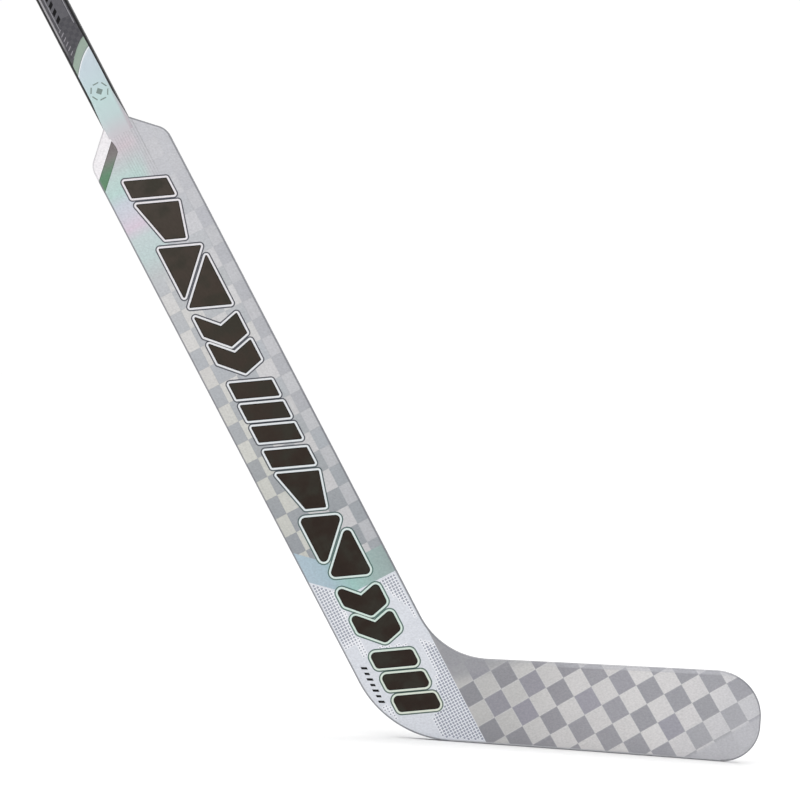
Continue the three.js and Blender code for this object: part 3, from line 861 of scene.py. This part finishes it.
def add_fairings():
    """The wedges that carry the shaft's face down onto the paddle."""
    base = HALF_PADDLE + SEAM / 2
    rise = HALF_SHAFT - base
    flat = SHAFT_WIDTH / 2 - SHAFT_CORNER
    length = SHAFT_START - FAIRING_START
    thin_end = 0.02 * MM
    narrowing = 0.03
    for side, name in SIDES.items():
        rings = []
        for fade in steps(24):
            along = SHAFT_START - SEAM - fade * (length - SEAM)
            left = (1 - fade) ** 1.6 * rise + thin_end
            half = []
            for share in steps(8):
                above = SHAFT_CORNER - rise * (1 - share)
                width = flat + math.sqrt(max(0.0, SHAFT_CORNER ** 2 - above ** 2))
                half.append((width * (1 - narrowing * fade), side * (base + left * share)))
            half.append((flat - FLAT_HOLD, half[-1][1]))
            ring = [*half, *[(-off, y) for off, y in reversed(half)]]
            rings.append([on_shaft(off, y, along) for off, y in ring])
        add_piece(f"fairing_{name}_smoothed", loft(rings), LAMINATE, "fairing_wrap", f"fairing_{name}")


# ------ wraps and skins

def wrap_section():
    """The section of an edge wrap from back to face, as (inset, depth, side)."""
    corner = [
        (EDGE_ROUND * (1 - math.sin(QUARTER * t)), EDGE_ROUND * (1 - math.cos(QUARTER * t)))
        for t in steps(ROUND_STEPS)
    ]
    half = [(EDGE_WIDTH, 0.0), (EDGE_ROUND + 0.3 * MM, 0.0), *corner]
    return [(*p, 1) for p in half] + [(*p, -1) for p in reversed(half)]


def wrap_ring(place):
    """The wrap's section at a place, which is a function from an inset and a depth to a point."""
    return [on_surface(place(inset, depth), side, depth) for inset, depth, side in wrap_section()]


def add_wrap(node, stations, material=LAMINATE, slot="edge_wrap", before=(), after=()):
    rings = [wrap_ring(lambda inset, _, station=station: station(inset)) for station in stations]
    add_piece(node + "_rounded", loft([*before, *rings, *after]), material, slot, node)


def add_wraps():
    heel, toe_sole, toe_top, throat, front, _, _, back = OUTLINE.values()
    toe_trim = SEAM / 2 / (TOE_SOLE_RADIUS * abs(toe_sole.turn))
    add_wrap("paddle_wrap_front", edge_stations(throat, front, EDGE_STEPS))
    add_wrap("paddle_wrap_back", edge_stations(back, heel, EDGE_STEPS))
    ends = [wrap_ring(lambda inset, depth, side=side: beside_shaft(side, inset, depth)) for side in (1, -1)]
    add_wrap("shoulder_wrap_front", front.trimmed(), after=[ends[0]])
    add_wrap("shoulder_wrap_back", back.trimmed(), before=[ends[1]])
    add_wrap("heel_wrap", heel.trimmed())
    add_wrap("throat_wrap", throat.trimmed())
    add_wrap("blade_wrap_top", edge_stations(toe_top, throat, EDGE_STEPS))
    add_wrap("blade_wrap_toe", toe_sole.stations(toe_trim, 1) + toe_top.stations(0, 1 - toe_trim))
    add_wrap("sole_strip", edge_stations(heel, toe_sole, EDGE_STEPS), SOLE, "sole_wear")


def add_skin(node, rings):
    add_piece(node + "_printed", loft(rings), LAMINATE, "face_laminate", node)


def paddle_outline(depth):
    """Everything inside the wraps from the sole to the shaft's notch, up to the paddle's front line."""
    front = PADDLE_WIDTH - SEAM / 2
    foot = SHAFT_START - SEAM
    clear = shaft_half(depth) + SEAM
    throat = OUTLINE["throat"].stations(throat_crossing(front, INNER), 1)
    points = [place(INNER) for place in OUTLINE["heel"].stations()]
    points.append(at_height(front, INNER))
    points += [place(INNER) for place in throat + OUTLINE["shoulder_front"].stations()]
    points += [beside_shaft(1, INNER, depth), on_paddle(SHAFT_CENTRE + clear, foot)]
    points += [on_paddle(SHAFT_CENTRE - clear, foot), beside_shaft(-1, INNER, depth)]
    points += [place(INNER) for place in OUTLINE["shoulder_back"].stations()]
    return points


def add_paddle_skins():
    for side, name in SIDES.items():
        rings = [[raised(p, side * (HALF_PADDLE - d)) for p in paddle_outline(d)] for d in (0, SKIN)]
        add_skin(f"paddle_skin_{name}", rings)


def blade_columns():
    """Lines from the blade's sole to its top edge. The first lies along the paddle's front line."""
    throat, toe_top, toe_sole = OUTLINE["throat"], OUTLINE["toe_top"], OUTLINE["toe_sole"]
    start = PADDLE_WIDTH + SEAM / 2
    top_edge = edge_stations(toe_top, throat, EDGE_STEPS)[::-1]
    high = [place(INNER) for place in throat.stations(throat_crossing(start, INNER), 0) + top_edge]
    first, last = at_height(start, INNER), toe_sole.point(0, INNER)
    columns = [(lerp(first, last, (p - high[0]).real / (high[-1] - high[0]).real), p) for p in high]
    columns += [(toe_sole.point(t, INNER), toe_top.point(1 - t, INNER)) for t in steps(ARC_STEPS)[1:]]
    return columns


def add_blade_skins():
    for side, name in SIDES.items():
        rings = []
        for low, high in blade_columns():
            row = [lerp(low, high, t) for t in steps(SKIN_ROWS)]
            outer = [on_surface(p, side, 0) for p in row]
            inner = [on_surface(p, side, SKIN) for p in reversed(row)]
            rings.append(outer + inner)
        add_skin(f"blade_skin_{name}", rings)


# ------ printed films

def grown(points, distance):
    """A polygon moved outward by a distance, with mitred corners."""
    result = []
    for i, point in enumerate(points):
        first, second = inward(points, i)
        result.append(point - (first + second) * distance / (1 + dot(first, second)))
    return result


def rounded(points, radius):
    """A polygon with its outer corners turned into arcs, each within 45% of the edges beside it."""
    result = []
    for i, point in enumerate(points):
        first, second = inward(points, i)
        turn = math.atan2((first.conjugate() * second).imag, dot(first, second))
        if turn <= 0:
            result.append(point)
            continue
        edge = min(abs(point - points[i - 1]), abs(points[(i + 1) % len(points)] - point))
        size = min(radius, 0.45 * edge / math.tan(turn / 2))
        centre = point + (first + second) * size / (1 + dot(first, second))
        result += [centre - first * cmath.rect(size, turn * t) for t in steps(6)]
    return result


def film(polygon, side, level, height):
    """A thin plate with a polygon of across + along * 1j points, standing on a flat of the stick."""
    sunk = 0.02 * MM
    points = [on_paddle(p.real, p.imag) for p in polygon]
    return loft([[raised(p, side * (level + h)) for p in points] for h in (-sunk, height)])


def add_print(name, side, polygons, height, material, level=HALF_PADDLE, slot="face_laminate"):
    """A print of many films on one side: -1 for the playing face and 1 for the back."""
    plates = [film(polygon, side, level, height) for polygon in polygons]
    add_piece(f"{name}_{SIDES[side]}", join(*plates), material, slot)


def bar(centre, width, length, slant=0.0):
    """A four-sided bar, width across and length along, sheared along the shaft."""
    return [centre + complex(x * width, y * length + slant * x * width) / 2 for x, y in SQUARE]


MARK_LOW = 21.6 * MM  # where a mark starts across the paddle
MARK_WIDTH = 40 * MM
MARK_LENGTH = 66 * MM
MARK_PITCH = 74.8 * MM
MARK_FIRST = 40.6 * MM
MARK_COUNT = 8
LOW_MARKS = 3  # the marks near the heel, which have rounder corners
MARK_SLANT = -0.41

# The shapes of four marks, in shares of a mark's width and length
BAR = 0.27
GAP = 0.095
MARK_SHAPES = [
    [[(0, q), (1, q), (1, q + BAR), (0, q + BAR)] for q in (0, BAR + GAP, 2 * (BAR + GAP))],
    [[(0, q), (0.5, q - 0.20), (1, q), (1, q + 0.35), (0.5, q + 0.15), (0, q + 0.35)] for q in (0.20, 0.65)],
    [[(0, 0), (1, 0), (1, 0.86)], [(0, 0.14), (1, 1), (0, 1)]],
    [[(0, 0.61), (0.26, 0), (0.74, 0), (1, 0.61)], [(0, 0.71), (1, 0.71), (1, 1), (0, 1)]],
]


def mark_polygons(index):
    """The polygons of one slanted mark, as across + along * 1j."""
    radius = (4.5 if index < LOW_MARKS else 1.2) * MM
    polygons = []
    for shape in MARK_SHAPES[index % len(MARK_SHAPES)]:
        corners = []
        for p, q in shape:
            shift = MARK_SLANT * MARK_WIDTH * (p - 0.5)
            along = MARK_FIRST + index * MARK_PITCH + MARK_LENGTH * (q - 0.5) + shift
            corners.append(complex(MARK_LOW + MARK_WIDTH * p, along))
        polygons.append(rounded(corners, radius))
    return polygons


def add_marks():
    """Bold marks down the paddle: a fill with a dark rim, on a pale outline on a thin keyline."""
    polygons = [polygon for index in range(MARK_COUNT) for polygon in mark_polygons(index)]
    layers = (
        ("mark_keylines", 3.2 * MM, 0.08 * MM, KEYLINE_INK),
        ("mark_outlines", 1.95 * MM, 0.11 * MM, OUTLINE_INK),
        ("mark_rims", 0.0, 0.14 * MM, RIM_INK),
        ("mark_fills", -0.8 * MM, 0.17 * MM, FILL_INK),
    )
    for side in SIDES:
        for name, margin, height, material in layers:
            add_print(name, side, [grown(p, margin) for p in polygons], height, material)


DOT_PITCH = 3.0 * MM
DOT_SIZE = 2.15 * MM
DOT_GROUND = 2.94 * MM
DOT_SMALLEST = 0.25


def dot_share(across, along):
    """How large a halftone dot is at a place, from 0 for none to 1. A patch fades in from its borders."""
    across, along = across / MM, along / MM
    front_start = lerp(60, 77, clamp((142 - along) / 42))
    front = min((across - front_start) / 5, 140.5 - along, (along - 90) / 12, 80 - across)
    blade_start = lerp(70.5, 46, clamp((33 - along) / 40))
    blade = min((across - blade_start) / 5, (68 + (76 - across) - along) / 6)
    band_edge = lerp(HEEL_BORDER[1], HEEL_BORDER[0], across / HEEL_BORDER[2]) - 1.5
    back = min((21 - across) / 7, band_edge - along, (along - 90) / 14)
    below_back = 13.5 < across < 21 and 79 < along < 106
    foot = 9 < across < 17 and 8 < along + across < 42 and along < 28
    between_marks = 31 < across < 64 and abs(along - 78.4 - MARK_SLANT * (across - 41)) < 1.4
    loose = 0.35 if below_back or foot else 0.3 * between_marks
    return clamp(max(front, blade, back, loose))


def inside_flat(point, margin):
    """True where a point of the heel lies on the flat, clear of the rounded edges by a margin."""
    heel, throat = OUTLINE["heel"], OUTLINE["throat"]
    across = dot(ACROSS, point - HEEL)
    if not margin < across < PADDLE_WIDTH - 1.6 * MM or point.imag < margin:
        return False
    if abs(point - throat.centre) < throat.radius + margin:
        return False
    from_centre = point - heel.centre
    in_arc = dot(UP, from_centre) < 0 and from_centre.real < 0
    return not in_arc or abs(from_centre) < heel.radius - margin


def contains(polygon, point):
    """True if a point lies inside a polygon."""
    inside = False
    for i, b in enumerate(polygon):
        a = polygon[i - 1]
        if (a.imag > point.imag) != (b.imag > point.imag):
            crossing = a.real + (point.imag - a.imag) * (b.real - a.real) / (b.imag - a.imag)
            inside ^= point.real < crossing
    return inside


def add_halftone():
    """Grey squares round the low marks, each on a paler square."""
    marks = [grown(polygon, 3.4 * MM) for index in range(LOW_MARKS) for polygon in mark_polygons(index)]
    columns = range(int(PADDLE_WIDTH / DOT_PITCH) + 1)
    dots, grounds = [], []
    for centre in [complex((i + 0.4) * DOT_PITCH, j * DOT_PITCH) for i in columns for j in range(-30, 70)]:
        share = dot_share(centre.real, centre.imag)
        on_flat = inside_flat(on_paddle(centre.real, centre.imag), EDGE_ROUND + 0.5 * MM)
        if share >= DOT_SMALLEST and on_flat and not any(contains(mark, centre) for mark in marks):
            size = DOT_SIZE * math.sqrt(share)
            dots.append(bar(centre, size, size))
            grounds.append(bar(centre, DOT_GROUND, DOT_GROUND))
    for side in SIDES:
        add_print("halftone_ground", side, grounds, 0.015 * MM, GROUND_INK)
        add_print("halftone_dots", side, dots, 0.03 * MM, DOT_INK)


HEEL_BARS = 7
HEEL_BARS_AT = (11.0, 33.0)  # the first bar's place across and along, in mm
HEEL_BARS_PITCH = 6.2
EMBLEM_AT = complex(SHAFT_CENTRE + 0.2 * MM, 694.6 * MM)


def emblem():
    """A ring of six dashes round a diamond."""
    outer, inner = 9.4 * MM, 8.1 * MM
    shapes = []
    for i in range(6):
        start, end = (cmath.rect(1, math.radians(60 * i + 30) + turn) for turn in (-0.36, 0.36))
        shapes.append([EMBLEM_AT + p for p in (start * outer, end * outer, end * inner, start * inner)])
    return [*shapes, [EMBLEM_AT + 3.8 * MM * p for p in (-1j, 1, 1j, -1)]]


def add_small_prints():
    """A row of small bars beside the lowest mark, and an emblem on the shaft."""
    bars = []
    for i in range(HEEL_BARS):
        centre = complex(HEEL_BARS_AT[0], HEEL_BARS_AT[1] + HEEL_BARS_PITCH * i) * MM
        bars.append(bar(centre, (4.2 if i % 2 else 5.4) * MM, 2.6 * MM, -0.55))
    for side in SIDES:
        add_print("heel_bars", side, bars, 0.04 * MM, BLACK_INK)
        add_print("shaft_emblem", side, emblem(), 0.03 * MM, GREY_INK, HALF_SHAFT, "shaft_composite")


# ------ hidden pieces

def finish_hidden_nodes():
    """The foam, carbon and blocks inside keep their CAD shape and get a real finish."""
    cores = ("spine_foam", "paddle_core_front", "paddle_core_back", "blade_core_lower", "blade_core_upper")
    finishes = ((FOAM, *cores), (HEEL_FOAM, "heel_block"), (CARBON, "paddle_spine", "blade_rib"))
    for material, *nodes in finishes:
        for node in nodes:
            slots = frame["nodes"][node].data.materials
            slots.clear()
            slots.append(material)


# ------ stage, light and camera

VIEW_WIDTH = 0.7896
VIEW_CENTRE = HEEL + complex(-0.0111, 0.3317)
VIEW_ROLL = math.radians(4.1)
VIEW_DISTANCE = 4.0
SENSOR = 36.0
FLOOR_HALF = 300.0
FLOOR_LEVEL = -0.3 * MM
LIT_POINT = Vector((-0.15, 0, 0.5))


def add_camera():
    """A camera in front of the playing face, rolled as the stick is held."""
    lens = bpy.data.cameras.new("camera")
    lens.sensor_width = SENSOR
    lens.lens = SENSOR * VIEW_DISTANCE / VIEW_WIDTH
    lens.clip_end = 1000.0
    camera = add_object("camera", lens)
    camera.location = raised(VIEW_CENTRE, -VIEW_DISTANCE)
    camera.rotation_euler = (QUARTER, -VIEW_ROLL, 0)
    bpy.context.scene.camera = camera


def add_floor():
    mesh = bpy.data.meshes.new("floor")
    corners = [(x * FLOOR_HALF, y * FLOOR_HALF, FLOOR_LEVEL) for x, y in SQUARE]
    mesh.from_pydata(corners, [], [(0, 1, 2, 3)])
    graph = new_material("studio_floor")
    paint = graph.tint("fdfdfd", 1.0 + graph.noise(graph.place(), 3.0) * 0.003)
    mesh.materials.append(surface(graph, paint, 0.9, gloss=(0.0,)))
    add_object("floor", mesh)


def add_world():
    """Even white to the camera. The light comes mostly from above, and the horizon is dimmer."""
    world = bpy.data.worlds.new("studio")
    bpy.context.scene.world = world
    graph = Graph(world)
    horizon, overhead, end_loss, seen = 0.32, 0.95, 0.12, 1.02
    _, y, z = graph.split(graph.node("ShaderNodeTexCoord", {}, output=0))
    light = horizon + z.rise(0.25, 0.65) * overhead - abs(y).rise(0.80, 0.97) * end_loss
    camera_ray = graph.node("ShaderNodeLightPath", {}, output=0)
    background = graph.nodes["Background"]
    graph.feed(background.inputs["Color"], "ffffff")
    graph.feed(background.inputs["Strength"], graph.choose(camera_ray, light, seen))


def add_light(name, place):
    """A soft round lamp aimed at the middle of the stick."""
    lamp = bpy.data.lights.new(name, "AREA")
    lamp.shape = "DISK"
    lamp.size = 1.6
    lamp.energy = 13
    light = add_object(name, lamp)
    light.location = place
    light.rotation_euler = (LIT_POINT - light.location).to_track_quat("-Z", "Y").to_euler()
    light.visible_camera = False


add_camera()
add_floor()
add_world()
add_light("key", (-1.6, -2.6, 2.6))
add_light("rim", (1.4, 2.6, 2.4))
bpy.context.scene.view_settings.view_transform = "Standard"

add_shaft()
add_butt_plug()
add_fairings()
add_wraps()
add_paddle_skins()
add_blade_skins()
add_marks()
add_halftone()
add_small_prints()
finish_hidden_nodes()
